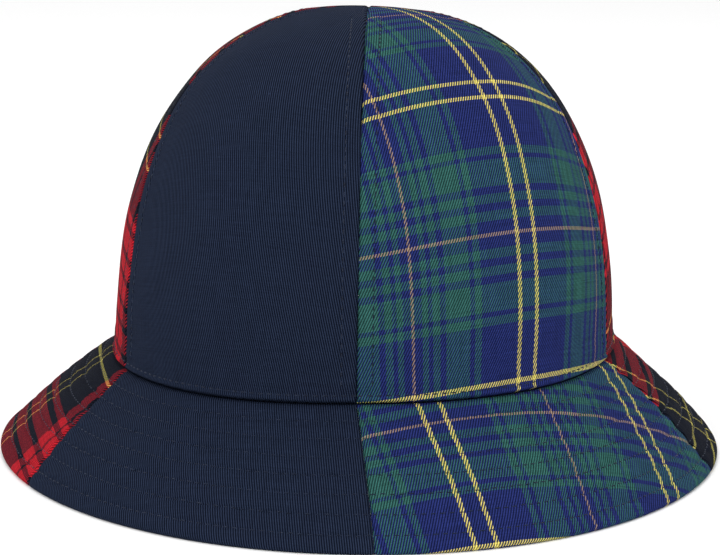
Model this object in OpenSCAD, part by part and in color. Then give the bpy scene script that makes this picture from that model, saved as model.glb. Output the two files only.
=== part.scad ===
// Bucket hat: a four-panel domed crown and a stitched, downturned brim, with its lining,
// brim stiffener, sweatband and seams. Left and right are the wearer's: the front faces -Y
// and the wearer's left is +X. The brim's edge rests on z = 0.

/* [Crown] */
// Half of the crown's width at the brim seam
crown_half_width = 90; // [84:0.5:98]
// Half of the crown's length at the brim seam
crown_half_length = 92; // [88:0.5:106]
// Height of the crown above the brim seam
crown_height = 121; // [100:0.5:140]
// Squareness of the brim seam seen from above, where 2 is an ellipse
seam_squareness = 2.35; // [2:0.05:2.6]
// Squareness of the crown's upright outline, where 2 is an ellipse
wall_squareness = 2.4; // [2.1:0.05:2.8]
// Share by which the front is narrower than the back
front_narrowing = 0.08; // [0:0.01:0.2]
// Distance of the crown's top behind the middle of the hat
top_setback = 13.5; // [0:0.5:20]
// Angle of the wearer's left side seam from the front seam
left_seam_angle = 73; // [62:1:88]
// Angle of the wearer's right side seam from the front seam
right_seam_angle = 65; // [62:1:88]
// Angle by which the side seams lean back on their way to the top
side_seam_lean = 40; // [0:5:45]

/* [Brim] */
// Height of the brim seam above the surface that the hat stands on
brim_height = 37.5; // [28:0.5:44]
// Rise of the brim seam at the wearer's left, over its height at the front and back
seam_lean = 2; // [0:0.1:4]
// How far the brim stands out from its seam at the front and back
front_reach = 46; // [38:0.5:54]
// How far the brim stands out at the wearer's left side
left_reach = 39.5; // [34:0.5:50]
// How far the brim stands out at the wearer's right side
right_reach = 42; // [34:0.5:50]
// Squareness of the brim's edge seen from above, where 2 is an ellipse
edge_squareness = 2.05; // [2:0.05:2.3]
// Height of the brim's convex bow between its seam and its edge
brim_bow = 1; // [0:0.25:3]
// Angle by which the brim's own seams run towards the wearer's left
brim_twist = 3.5; // [0:0.5:8]
// Number of stitched rows around the brim
brim_stitch_rows = 7; // [3:1:7]
// Distance between the stitched rows
stitch_row_spacing = 7.5; // [5:0.25:7.75]

/* [Fabric] */
// Thickness of the outer cloth
outer_cloth = 0.8; // [0.6:0.1:1]
// Thickness of the lining cloth
lining_cloth = 0.5; // [0.3:0.1:0.6]
// Thickness of the stiffener inside the brim
stiffener_cloth = 0.6; // [0.4:0.1:0.8]
// Width of the turned hem at the brim's edge
hem_width = 1.6; // [1:0.1:3]
// Thickness of the sweatband
sweatband_cloth = 1.2; // [0.8:0.1:1.6]
// Height of the sweatband
sweatband_height = 32; // [20:1:40]
// Diameter of the sewing thread
thread_diameter = 0.45; // [0.3:0.05:0.6]

/* [Hidden] */
LAYER_GAP = 0.15;
SEAM_GAP = 0.15;
COLUMN_STEP = 7.5;
CROWN_ROWS = 10;
BRIM_ROWS = 4;
THREAD_SIDES = 3;
TOP_ROW_ANGLE = 89.7;
MEAN_BRIM_SLOPE = 40;
SWEATBAND_GAP = 0.35;
SWEATBAND_LIFT = 1.4;
SEAM_STITCH_OFFSET = 5.5;
SEAM_STITCH_TOP = 79;
BASE_STITCH_HEIGHT = 2.6;
HEAD_SEAM_DEPTH = 2.1;
HEAD_SEAM_HEIGHT = 0.55;
LABEL_HALF_ANGLE = 9;
LABEL_CLOTH = 0.4;
LABEL_TOP = 27;
LABEL_BOTTOM = 7;

NAVY = [0.09, 0.12, 0.21];
BLUE_GREEN = [0.11, 0.24, 0.36];
RED = [0.68, 0.10, 0.12];
LINING_BLUE = [0.12, 0.15, 0.25];
FELT_GREY = [0.80, 0.80, 0.78];
TAPE_NAVY = [0.06, 0.08, 0.15];
THREAD_NAVY = [0.05, 0.07, 0.13];
LABEL_WHITE = [0.92, 0.92, 0.90];

// Each panel runs from one seam angle to the next, counted from the front towards the wearer's left.
FRONT_LEFT = [0, left_seam_angle];
BACK_LEFT = [left_seam_angle, 180];
BACK_RIGHT = [180, 360 - right_seam_angle];
FRONT_RIGHT = [360 - right_seam_angle, 360];

function mix(a, b, f) = a + (b - a) * f;
function unit(v) = v / norm(v);
function below(p, depth) = p - [0, 0, depth];
function flat_vector(p) = [p.x, p.y, 0];

// The hat in plan: squared ellipses, narrower at the front.
function outline(t, half_width, half_length, squareness) =
    let (r = pow(pow(abs(sin(t)), squareness) + pow(abs(cos(t)), squareness), -1 / squareness))
    [half_width * r * sin(t) * (1 - front_narrowing * cos(t)), -half_length * r * cos(t), 0];
function seam_outline(t) = outline(t, crown_half_width, crown_half_length, seam_squareness);
function side_reach(t) = sin(t) < 0 ? right_reach : left_reach;
function edge_outline(t) =
    outline(t, crown_half_width + side_reach(t), crown_half_length + front_reach, edge_squareness);

// Height of the brim seam around the hat.
function seam_height(t) = brim_height + seam_lean * sin(t);

// The crown's outer face: q runs from 0 at the seam to 90 at the top.
function wall_reach(q) = pow(cos(q), 2 / wall_squareness);
function wall_rise(q) = pow(sin(q), 2 / wall_squareness);
function angle_at_height(h) = asin(pow(h / crown_height, wall_squareness / 2));
function leaned(t, q) = t + side_seam_lean * sin(t) * (1 - wall_reach(q));
function crown_point(t, q) =
    wall_reach(q) * seam_outline(leaned(t, q))
    + [0, top_setback * (1 - wall_reach(q)), 0]
    + [0, 0, mix(seam_height(t), brim_height + crown_height, wall_rise(q))];
function crown_normal(t, q) =
    unit(cross(crown_point(t + 1, q) - crown_point(t - 1, q),
               crown_point(t, min(q + 1, 89.9)) - crown_point(t, max(q - 1, 0))));
function crown_inside(t, q, depth) = crown_point(t, q) - depth * crown_normal(t, q);

// Distance from the crown's axis that turns a step of t into a length along the cloth.
function turning_radius(t, q) =
    crown_half_width * wall_reach(q) * (1 + side_seam_lean * PI / 180 * cos(t) * (1 - wall_reach(q)));

// The brim's upper face: w runs from 0 at the seam to 1 at the edge.
function brim_run(t) = edge_outline(t + brim_twist) - seam_outline(t);
function brim_point(t, w) =
    let (bow = 2 * brim_bow * w * (1 - w))
    seam_outline(t) + brim_run(t) * w + unit(brim_run(t)) * bow
    + [0, 0, mix(seam_height(t), hem_height, w) + bow];

// Layers of the brim, measured straight down from its upper face.
function down(thickness) = thickness / cos(MEAN_BRIM_SLOPE);
top_depth = [0, down(outer_cloth)];
stiffener_depth = [top_depth[1] + LAYER_GAP, top_depth[1] + LAYER_GAP + down(stiffener_cloth)];
under_depth = [stiffener_depth[1] + LAYER_GAP, stiffener_depth[1] + LAYER_GAP + down(outer_cloth)];
hem_height = under_depth[1];

// Layers of the crown, measured inwards from its outer face.
lining_depth = [outer_cloth + LAYER_GAP, outer_cloth + LAYER_GAP + lining_cloth];
sweatband_depth = [lining_depth[1] + SWEATBAND_GAP, lining_depth[1] + SWEATBAND_GAP + sweatband_cloth];
label_depth = [sweatband_depth[1] + LAYER_GAP, sweatband_depth[1] + LAYER_GAP + LABEL_CLOTH];

// Columns of facets, shared by every layer so that the layers lie parallel.
function column_count(span) = ceil((span[1] - span[0]) / COLUMN_STEP);
function column(span, j) = mix(span[0], span[1], j / column_count(span));
function columns(span) = [for (j = [0 : column_count(span)]) column(span, j)];
function open_columns(span) = [for (j = [0 : column_count(span) - 1]) column(span, j)];
ring_columns = concat(open_columns(FRONT_LEFT), open_columns(BACK_LEFT),
                      open_columns(BACK_RIGHT), open_columns(FRONT_RIGHT));
crown_rows = [for (i = [0 : CROWN_ROWS]) TOP_ROW_ANGLE * i / CROWN_ROWS];
brim_rows = [for (i = [0 : BRIM_ROWS]) i / BRIM_ROWS];

// The middle of the brim's outline becomes the middle of the hat.
edge_points = [for (t = ring_columns) brim_point(t, 1)];
edge_x = [for (p = edge_points) p.x];
edge_y = [for (p = edge_points) p.y];
hat_middle = [(max(edge_x) + min(edge_x)) / 2, (max(edge_y) + min(edge_y)) / 2, 0];

// A column is pulled in from its seam by the same distance at any radius.
function seam_inset(t, span, radius) =
    let (inset = asin(SEAM_GAP / radius))
    t == span[0] ? t + inset : t == span[1] ? t - inset : t;

// A closed sheet between two faces, each a list of columns of points.
function strip_faces(columns_n, rows_n, first, flip) = [
    for (j = [0 : columns_n - 2], i = [0 : rows_n - 2])
        let (a = first + j * rows_n + i, b = a + rows_n)
        each flip ? [[a, b, b + 1], [a, b + 1, a + 1]] : [[a, b + 1, b], [a, a + 1, b + 1]]
];
function edge_faces(columns_n, rows_n, row, flip) = [
    for (j = [0 : columns_n - 2])
        let (a = j * rows_n + row, b = a + rows_n, back = columns_n * rows_n)
        each flip ? [[a, b + back, b], [a, a + back, b + back]] : [[a, b, b + back], [a, b + back, a + back]]
];
function end_faces(columns_n, rows_n, column, flip) = [
    for (i = [0 : rows_n - 2])
        let (a = column * rows_n + i, b = a + 1, back = columns_n * rows_n)
        each flip ? [[a, b, b + back], [a, b + back, a + back]] : [[a, b + back, b], [a, a + back, b + back]]
];
module sheet(outer, inner) {
    columns_n = len(outer);
    rows_n = len(outer[0]);
    polyhedron(
        points = concat([for (c = outer) each c], [for (c = inner) each c]),
        faces = concat(
            strip_faces(columns_n, rows_n, 0, false),
            strip_faces(columns_n, rows_n, columns_n * rows_n, true),
            edge_faces(columns_n, rows_n, 0, false),
            edge_faces(columns_n, rows_n, rows_n - 1, true),
            end_faces(columns_n, rows_n, 0, false),
            end_faces(columns_n, rows_n, columns_n - 1, true)
        )
    );
}

// Lengths of thread, each swept along its own list of points as one three-sided tube.
function tube_ring(p, along, radius) =
    let (side = unit(cross(along, abs(along.z) > 0.9 * norm(along) ? [1, 0, 0] : [0, 0, 1])),
         lift = unit(cross(side, along)))
    [for (s = [0 : THREAD_SIDES - 1])
        p + radius * (cos(360 * s / THREAD_SIDES) * side + sin(360 * s / THREAD_SIDES) * lift)];
function tube_points(path, closed, radius) =
    let (n = len(path))
    [for (i = [0 : n - 1])
        let (ahead = closed ? path[(i + 1) % n] : path[min(i + 1, n - 1)],
             behind = closed ? path[(i + n - 1) % n] : path[max(i - 1, 0)])
        each tube_ring(path[i], ahead - behind, radius)];
function tube_sides(n, closed, first) = [
    for (i = [0 : closed ? n - 1 : n - 2], s = [0 : THREAD_SIDES - 1])
        let (a = first + i * THREAD_SIDES + s,
             b = first + i * THREAD_SIDES + (s + 1) % THREAD_SIDES,
             c = first + ((i + 1) % n) * THREAD_SIDES + s,
             d = first + ((i + 1) % n) * THREAD_SIDES + (s + 1) % THREAD_SIDES)
        each [[a, b, d], [a, d, c]]
];
function tube_ends(n, first) = [
    [for (s = [THREAD_SIDES - 1 : -1 : 0]) first + s],
    [for (s = [0 : THREAD_SIDES - 1]) first + (n - 1) * THREAD_SIDES + s]
];
module threads(paths, closed) {
    n = len(paths[0]);
    radius = thread_diameter / 2;
    polyhedron(
        points = [for (path = paths) each tube_points(path, closed, radius)],
        faces = [
            for (k = [0 : len(paths) - 1])
                let (first = k * n * THREAD_SIDES)
                each concat(tube_sides(n, closed, first), closed ? [] : tube_ends(n, first))
        ]
    );
}

module crown_layer(span, depth) {
    function seam_lift(q) = [0, 0, q == 0 ? SEAM_GAP : 0];
    function face(d) = [
        for (t = columns(span)) [
            for (q = crown_rows)
                crown_inside(seam_inset(t, span, turning_radius(t, q)), q, d) + seam_lift(q)
        ]
    ];
    translate(-hat_middle) sheet(face(depth[0]), face(depth[1]));
}

// The turned hem: the upper cloth wraps round the brim's edge and stands on it.
module brim_layer(span) {
    function inset(t, w) = seam_inset(t, span, crown_half_width + w * front_reach);
    function hem_start(t) = 1 - hem_width / norm(brim_run(t));
    function outer_column(t) = concat(
        [for (w = brim_rows) brim_point(inset(t, w), w)],
        [flat_vector(brim_point(inset(t, 1), 1))]
    );
    function inner_column(t) = concat(
        [for (w = brim_rows) below(brim_point(inset(t, w), min(w, hem_start(t))), top_depth[1])],
        [flat_vector(brim_point(inset(t, 1), hem_start(t)))]
    );
    translate(-hat_middle)
        sheet([for (t = columns(span)) outer_column(t)], [for (t = columns(span)) inner_column(t)]);
}

module brim_inner_layer(span, depth) {
    function face(d) = [
        for (t = columns(span)) [
            for (w = brim_rows)
                let (a = seam_inset(t, span, crown_half_width + w * front_reach))
                below(brim_point(a, min(w, 1 - (hem_width + LAYER_GAP) / norm(brim_run(t)))), d)
        ]
    ];
    translate(-hat_middle) sheet(face(depth[0]), face(depth[1]));
}

// Two rows of stitches along one crown seam, one on each side of it.
module seam_threads(angle) {
    first_row = angle_at_height(2 * BASE_STITCH_HEIGHT);
    lift = thread_diameter / 2 + 0.05;
    paths = [
        for (side = [-1, 1]) [
            for (i = [0 : CROWN_ROWS])
                let (q = mix(first_row, SEAM_STITCH_TOP, i / CROWN_ROWS),
                     t = angle + side * asin(SEAM_STITCH_OFFSET / turning_radius(angle, q)))
                crown_inside(t, q, -lift)
        ]
    ];
    translate(-hat_middle) threads(paths, false);
}

module crown_front_left() { color(BLUE_GREEN) crown_layer(FRONT_LEFT, [0, outer_cloth]); }
module crown_front_right() { color(NAVY) crown_layer(FRONT_RIGHT, [0, outer_cloth]); }
module crown_back_left() { color(RED) crown_layer(BACK_LEFT, [0, outer_cloth]); }
module crown_back_right() { color(RED) crown_layer(BACK_RIGHT, [0, outer_cloth]); }

module lining_front_left() { color(LINING_BLUE) crown_layer(FRONT_LEFT, lining_depth); }
module lining_front_right() { color(LINING_BLUE) crown_layer(FRONT_RIGHT, lining_depth); }
module lining_back_left() { color(LINING_BLUE) crown_layer(BACK_LEFT, lining_depth); }
module lining_back_right() { color(LINING_BLUE) crown_layer(BACK_RIGHT, lining_depth); }

module brim_front_left() { color(BLUE_GREEN) brim_layer(FRONT_LEFT); }
module brim_front_right() { color(NAVY) brim_layer(FRONT_RIGHT); }
module brim_back_left() { color(RED) brim_layer(BACK_LEFT); }
module brim_back_right() { color(RED) brim_layer(BACK_RIGHT); }

module underbrim_front_left() { color(NAVY) brim_inner_layer(FRONT_LEFT, under_depth); }
module underbrim_front_right() { color(NAVY) brim_inner_layer(FRONT_RIGHT, under_depth); }
module underbrim_back_left() { color(NAVY) brim_inner_layer(BACK_LEFT, under_depth); }
module underbrim_back_right() { color(NAVY) brim_inner_layer(BACK_RIGHT, under_depth); }

// One strip of stiffener, its ends butted at the back seam.
module brim_stiffener() { color(FELT_GREY) brim_inner_layer([-180, 180], stiffener_depth); }

// One strip of cotton tape, its ends butted at the back seam.
module sweatband() {
    span = [-180, 180];
    heights = [SWEATBAND_LIFT, SWEATBAND_LIFT + sweatband_height / 2, SWEATBAND_LIFT + sweatband_height];
    function face(d) = [
        for (t = columns(span)) [
            for (h = heights) crown_inside(seam_inset(t, span, crown_half_width), angle_at_height(h), d)
        ]
    ];
    color(TAPE_NAVY) translate(-hat_middle) sheet(face(sweatband_depth[0]), face(sweatband_depth[1]));
}

// A blank label on the sweatband's inner face at the back.
module care_label() {
    span = [180 - LABEL_HALF_ANGLE, 180 + LABEL_HALF_ANGLE];
    function face(d) = [
        for (t = columns(span)) [for (h = [LABEL_BOTTOM, LABEL_TOP]) crown_inside(t, angle_at_height(h), d)]
    ];
    color(LABEL_WHITE) translate(-hat_middle) sheet(face(label_depth[0]), face(label_depth[1]));
}

module front_seam_stitching() { color(THREAD_NAVY) seam_threads(0); }
module back_seam_stitching() { color(THREAD_NAVY) seam_threads(180); }
module left_seam_stitching() { color(THREAD_NAVY) seam_threads(left_seam_angle); }
module right_seam_stitching() { color(THREAD_NAVY) seam_threads(-right_seam_angle); }

module crown_base_stitching() {
    lift = thread_diameter / 2 + 0.05;
    path = [for (t = ring_columns) crown_inside(t, angle_at_height(BASE_STITCH_HEIGHT), -lift)];
    color(THREAD_NAVY) translate(-hat_middle) threads([path], true);
}

module brim_stitching() {
    lift = down(thread_diameter / 2) + 0.1;
    brim_width = norm([front_reach, brim_height - hem_height]);
    paths = [
        for (row = [1 : brim_stitch_rows]) [
            for (t = ring_columns) below(brim_point(t, row * stitch_row_spacing / brim_width), -lift)
        ]
    ];
    color(THREAD_NAVY) translate(-hat_middle) threads(paths, true);
}

// The thread that joins the crown to the brim, inside the hat under the sweatband.
module head_seam_stitching() {
    path = [for (t = ring_columns) crown_inside(t, angle_at_height(HEAD_SEAM_HEIGHT), HEAD_SEAM_DEPTH)];
    color(THREAD_NAVY) translate(-hat_middle) threads([path], true);
}

module sweatband_stitching() {
    depth = sweatband_depth[1] + thread_diameter / 2 + 0.05;
    path = [for (t = ring_columns) crown_inside(t, angle_at_height(SWEATBAND_LIFT + 2), depth)];
    color(THREAD_NAVY) translate(-hat_middle) threads([path], true);
}

crown_front_left();
crown_front_right();
crown_back_left();
crown_back_right();
lining_front_left();
lining_front_right();
lining_back_left();
lining_back_right();
brim_front_left();
brim_front_right();
brim_back_left();
brim_back_right();
underbrim_front_left();
underbrim_front_right();
underbrim_back_left();
underbrim_back_right();
brim_stiffener();
sweatband();
care_label();
front_seam_stitching();
back_seam_stitching();
left_seam_stitching();
right_seam_stitching();
crown_base_stitching();
brim_stitching();
head_seam_stitching();
sweatband_stitching();
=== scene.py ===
"""Looks of the bucket hat: cloth, seams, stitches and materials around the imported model.

Shapes are worked out in millimetres, as in the design, and become metres in the meshes.
Angles are in degrees, counted from the front of the hat towards the wearer's left.
"""

import math

import bpy
import numpy as np
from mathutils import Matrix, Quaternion, Vector


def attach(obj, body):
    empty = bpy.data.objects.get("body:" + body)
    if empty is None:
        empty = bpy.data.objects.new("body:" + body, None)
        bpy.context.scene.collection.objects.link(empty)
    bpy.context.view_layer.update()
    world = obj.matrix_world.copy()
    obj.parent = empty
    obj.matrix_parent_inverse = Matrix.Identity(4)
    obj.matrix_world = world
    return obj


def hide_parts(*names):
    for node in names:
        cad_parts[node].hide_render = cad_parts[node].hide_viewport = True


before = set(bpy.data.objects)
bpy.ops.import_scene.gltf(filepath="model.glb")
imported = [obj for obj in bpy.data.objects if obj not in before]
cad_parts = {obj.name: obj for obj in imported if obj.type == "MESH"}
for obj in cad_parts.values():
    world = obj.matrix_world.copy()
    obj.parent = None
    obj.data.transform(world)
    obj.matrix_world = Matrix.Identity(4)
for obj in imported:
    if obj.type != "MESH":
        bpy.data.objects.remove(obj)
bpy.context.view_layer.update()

MM = 0.001

# The hat's driving sizes, as in the design.
CROWN_HALF_WIDTH = 90.0
CROWN_HALF_LENGTH = 92.0
CROWN_HEIGHT = 121.0
SEAM_SQUARENESS = 2.35
WALL_SQUARENESS = 2.4
FRONT_NARROWING = 0.08
TOP_SETBACK = 13.5
SIDE_SEAM_LEAN = 40.0
BRIM_HEIGHT = 37.5
SEAM_LEAN = 2.0
FRONT_REACH = 46.0
LEFT_REACH = 39.5
RIGHT_REACH = 42.0
EDGE_SQUARENESS = 2.05
BRIM_BOW = 1.0
BRIM_TWIST = 3.5
BRIM_ROWS = 7
BRIM_ROW_SPACING = 7.5

# Cloth thickness and the layers' depths below the outer face, as in the design. The underbrim's
# inner edge is carried in under the sweatband, by a share of the brim's width.
OUTER_CLOTH = 0.8
LINING = (0.95, 1.45)
SWEATBAND = (1.8, 3.0)
LABEL = (3.15, 3.55)
STIFFENER = (1.194, 1.977)
UNDERBRIM = (2.127, 3.171)
UNDERBRIM_WIDTH = 0.96
UNDERBRIM_INNER_REACH = 0.055
HEM_HEIGHT = 3.171
SWEATBAND_HEIGHTS = (1.4, 33.4)
LABEL_HEIGHTS = (7.0, 27.0)
LABEL_HALF_ANGLE = 9.0

# Panels run between the seams. Each panel's weave lies along its grain angle.
LEFT_SEAM = 73.0
RIGHT_SEAM = 295.0
PANELS = {
    "front_left": (0.0, LEFT_SEAM),
    "back_left": (LEFT_SEAM, 180.0),
    "back_right": (180.0, RIGHT_SEAM),
    "front_right": (RIGHT_SEAM, 360.0),
}
SEAMS = (0.0, LEFT_SEAM, 180.0, RIGHT_SEAM)
BRIM_GRAIN = {"front_left": 26.0, "back_left": 97.0, "back_right": 266.0, "front_right": 334.0}
CLOTH = {
    "front_left": "blue_green_tartan",
    "back_left": "red_tartan",
    "back_right": "red_tartan",
    "front_right": "navy_twill",
}
# Where each panel was cut from its cloth: the crossing of the tartan's first lines, right of and
# above the grain's foot, then the lean of its upright and of its level lines, in degrees.
CROWN_CUT = {
    "front_left": (-37.7, 50.0, 1.0, 4.2),
    "back_left": (-26.0, 12.0, 0.0, 0.0),
    "back_right": (26.0, -16.0, 0.0, 0.0),
    "front_right": (0.0, 0.0, 0.0, 0.0),
}
BRIM_CUT = {
    "front_left": (26.6, -10.0, 4.4, -5.2),
    "back_left": (-20.8, -40.3, -25.0, -10.0),
    "back_right": (9.0, -1.5, -6.0, 2.0),
    "front_right": (0.0, 0.0, 0.0, 0.0),
}

# The grid on which a crown panel is laid flat, and the share of its height where it is even.
FLAT_COLUMNS = 21
FLAT_ROWS = 33
FLAT_EVEN_HEIGHT = 0.75

# Half the gap between two panels at their seam.
SEAM_CLEARANCE = 0.04

# Relief of the sewn cloth: the depth of its grooves, and the height of its folds and ripples.
CROWN_GROOVE = 0.62
CROWN_ALLOWANCE_RISE = 0.32
CROWN_ROW_GROOVE = 0.2
CROWN_PUCKER = 0.06
CROWN_RIPPLE = 0.3
BASE_FOLD_RISE = 0.75
BASE_ALLOWANCE_RISE = 0.3
BASE_ROW_GROOVE = 0.3
BASE_PUCKER = 0.09
BASE_GROOVE = 0.7
BRIM_PUFF = 0.3
BRIM_ROW_GROOVE = 0.36
BRIM_PUCKER = 0.24
BRIM_RIPPLE = 0.32
BRIM_ALLOWANCE_RISE = 0.2
BRIM_GROOVE = 0.55
BRIM_INNER_GROOVE = 0.5
UNDERBRIM_RELIEF = 0.7
UNDERBRIM_RIM_GROOVE = 0.25
RIM_SEAM_GROOVE = 0.5

# These shift the puckers along the brim's rows, so that its two faces differ.
UPPER_SIDE = 0.0
UNDERSIDE = 1.3

# Topstitching: the seam rows stop short of the top, at SEAM_STITCH_TOP degrees.
SEAM_STITCH_OFFSET = 5.5
SEAM_STITCH_TOP = 79.0
BASE_STITCH_HEIGHT = 2.6
HEAD_SEAM_HEIGHT = 0.55
HEAD_SEAM_DEPTH = 1.75
SWEATBAND_ROW_HEIGHT = 3.4
SWEATBAND_ROW_DEPTH = 2.75
THREAD_RADIUS = 0.22
STITCH_PITCH = 3.1
STITCH_GAP = 0.55

# The brim's rounded edge, and how far open the crown's panels stay where they meet at the top.
EDGE_RADIUS = 1.25
HEM_TURN = 165.0
TOP_GATHER = 0.2


# ---------------------------------------------------------------- the hat's shape


def sind(angle):
    return np.sin(np.radians(angle))


def cosd(angle):
    return np.cos(np.radians(angle))


def step(value, low, high):
    """A smooth rise from 0 at low to 1 at high."""
    share = np.clip((value - low) / (high - low), 0.0, 1.0)
    return share * share * (3 - 2 * share)


def bell(value, middle, width):
    """A smooth rise and fall around the middle."""
    return np.exp(-(((value - middle) / width) ** 2))


def unit(vectors):
    return vectors / np.maximum(np.linalg.norm(vectors, axis=-1, keepdims=True), 1e-9)


def column(values):
    """One number per point, ready to multiply the points' coordinates."""
    return np.asarray(values, float)[..., None]


def raised(height):
    return np.stack([np.zeros_like(height), np.zeros_like(height), height], axis=-1)


def outline(t, half_width, half_length, squareness):
    """The hat in plan: a squared ellipse, narrower at the front."""
    radius = (abs(sind(t)) ** squareness + abs(cosd(t)) ** squareness) ** (-1 / squareness)
    x = half_width * radius * sind(t) * (1 - FRONT_NARROWING * cosd(t))
    y = -half_length * radius * cosd(t)
    return np.stack([x, y, np.zeros_like(x)], axis=-1)


def edge_outline(t):
    reach = np.where(sind(t) < 0, RIGHT_REACH, LEFT_REACH)
    return outline(t, CROWN_HALF_WIDTH + reach, CROWN_HALF_LENGTH + FRONT_REACH, EDGE_SQUARENESS)


ALL_ROUND = np.linspace(0.0, 360.0, 1441)
EDGE_POINTS = edge_outline(ALL_ROUND)
HAT_MIDDLE = (EDGE_POINTS.max(axis=0) + EDGE_POINTS.min(axis=0)) / 2


def seam_outline(t):
    return outline(t, CROWN_HALF_WIDTH, CROWN_HALF_LENGTH, SEAM_SQUARENESS) - HAT_MIDDLE


def seam_height(t):
    return BRIM_HEIGHT + SEAM_LEAN * sind(t)


def wall_reach(q):
    return cosd(q) ** (2 / WALL_SQUARENESS)


def wall_rise(q):
    return sind(q) ** (2 / WALL_SQUARENESS)


def angle_at_height(height):
    return np.degrees(np.arcsin((height / CROWN_HEIGHT) ** (WALL_SQUARENESS / 2)))


def leaned(t, q):
    """The angle about the crown's axis, where the side seams lean back on their way up."""
    return t + SIDE_SEAM_LEAN * sind(t) * (1 - wall_reach(q))


def crown_point(t, q):
    """The crown's smooth outer face; q runs from 0 at the brim seam to 90 at the top."""
    reach = wall_reach(q)
    low, high = seam_height(t), BRIM_HEIGHT + CROWN_HEIGHT
    point = column(reach) * (seam_outline(leaned(t, q)) + HAT_MIDDLE) - HAT_MIDDLE
    point = point + raised(low + (high - low) * wall_rise(q))
    point[..., 1] += TOP_SETBACK * (1 - reach)
    return point


def turning_radius(t, q):
    """Distance from the crown's axis that turns a step of t into a length along the cloth."""
    reach = wall_reach(q)
    lean = math.radians(SIDE_SEAM_LEAN) * cosd(t) * (1 - reach)
    return CROWN_HALF_WIDTH * reach * (1 + lean)


def crown_normal(t, q):
    across = crown_point(t + 0.5, q) - crown_point(t - 0.5, q)
    upwards = crown_point(t, np.minimum(q + 0.5, 89.95)) - crown_point(t, np.maximum(q - 0.5, 0.0))
    return unit(np.cross(across, upwards))


def crown_inside(t, q, depth):
    return crown_point(t, q) - column(depth) * crown_normal(t, q)


# The way up the crown's wall, in millimetres of cloth, against q.
WALL_ANGLES = np.linspace(0.0, 89.9, 600)
WALL_POINTS = np.stack(
    [CROWN_HALF_WIDTH * wall_reach(WALL_ANGLES), CROWN_HEIGHT * wall_rise(WALL_ANGLES)], axis=-1
)
WALL_LENGTHS = np.concatenate(
    [[0.0], np.cumsum(np.linalg.norm(np.diff(WALL_POINTS, axis=0), axis=1))]
)
WALL_LENGTH = WALL_LENGTHS[-1]


def wall_length(q):
    return np.interp(q, WALL_ANGLES, WALL_LENGTHS)


def angle_at_length(length):
    return np.interp(length, WALL_LENGTHS, WALL_ANGLES)


def brim_run(t):
    return edge_outline(t + BRIM_TWIST) - HAT_MIDDLE - seam_outline(t)


def design_brim_point(t, w):
    """The brim's upper face in the design; w runs from 0 at the seam to 1 at the edge."""
    run = brim_run(t)
    bow = 2 * BRIM_BOW * w * (1 - w)
    low = seam_height(t)
    return (
        seam_outline(t)
        + run * column(w)
        + unit(run) * column(bow)
        + raised(low + (HEM_HEIGHT - low) * w + bow)
    )


def edge_middle(t):
    """The middle of the brim's rounded edge, which touches z = 0 from above."""
    run = brim_run(t)
    return seam_outline(t) + run - unit(run) * EDGE_RADIUS + raised(np.full_like(t, EDGE_RADIUS))


def slope_frame(t):
    """The brim's upward normal and its outward direction, at its edge."""
    edge = np.ones_like(t)
    outward = unit(design_brim_point(t, edge) - design_brim_point(t, np.full_like(t, 0.97)))
    around = unit(design_brim_point(t + 0.5, edge) - design_brim_point(t - 0.5, edge))
    return unit(np.cross(outward, around)), outward


def brim_point(t, w):
    """The brim's smooth upper face, eased down near the edge into the rounded hem."""
    normal, _ = slope_frame(t)
    ease = edge_middle(t) + normal * EDGE_RADIUS - design_brim_point(t, np.ones_like(t))
    return design_brim_point(t, w) + ease * column(step(w, 0.55, 1.0))


def brim_normal(t, w):
    around = brim_point(t + 0.5, w) - brim_point(t - 0.5, w)
    outward = brim_point(t, np.minimum(w + 0.01, 1.0)) - brim_point(t, np.maximum(w - 0.01, 0.0))
    return unit(np.cross(outward, around))


BRIM_WIDTH = math.hypot(FRONT_REACH, BRIM_HEIGHT - HEM_HEIGHT)


# ---------------------------------------------------------------- relief of the sewn cloth


def waves(points, length, seed):
    """Slow, even ripples through space, from -1 to 1, the same on every run."""
    random = np.random.default_rng(seed)
    total = np.zeros(points.shape[:-1])
    for _ in range(7):
        direction = unit(random.normal(size=3))
        phase = random.uniform(0, 2 * math.pi)
        size = length * random.uniform(0.7, 1.6)
        total += np.sin(points @ direction * (2 * math.pi / size) + phase)
    return total / 3.5


def nearest_seam(t, radius):
    """Distance from the nearest panel seam, for points at a radius from the hat's middle."""
    away = [2 * abs(sind((t - seam) / 2)) * radius for seam in SEAMS]
    return np.minimum.reduce(away)


def sunk(relief, depth, share):
    """Pulls the relief down to a groove of one depth, by a share from 0 to 1."""
    return relief - (depth + relief) * share


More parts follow.
